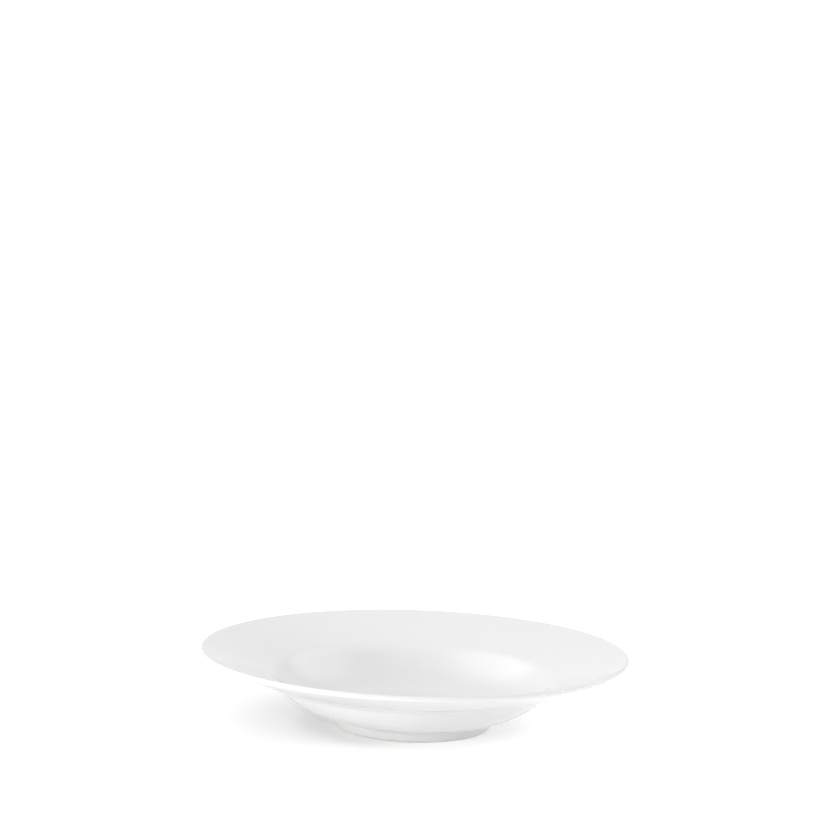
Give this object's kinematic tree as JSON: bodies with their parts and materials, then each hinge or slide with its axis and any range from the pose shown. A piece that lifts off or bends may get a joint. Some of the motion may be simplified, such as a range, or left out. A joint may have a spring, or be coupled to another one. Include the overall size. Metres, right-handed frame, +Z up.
{
  "type": "deep plate",
  "caption": "Round deep plate in white glazed porcelain, with a broad sloping rim, a sunken well and a bare foot ring to stand on, for soup or pasta.",
  "frame": {"origin": "middle of the foot ring, on the surface that the plate stands on", "axes": "+Z up along the plate's axis of turning; X and Y lie level, and any turn about +Z is alike"},
  "size_m": [0.3, 0.3, 0.0535],
  "materials": {
    "bare_porcelain": "fired and unglazed, fine matte",
    "clear_glaze": "white gloss glaze",
    "base_glaze": "white gloss glaze, a little less even than on top"
  },
  "bodies": {
    "root": {"porcelain_body": "bare_porcelain", "glaze_coat": "clear_glaze", "base_glaze": "base_glaze"}
  },
  "joints": []
}
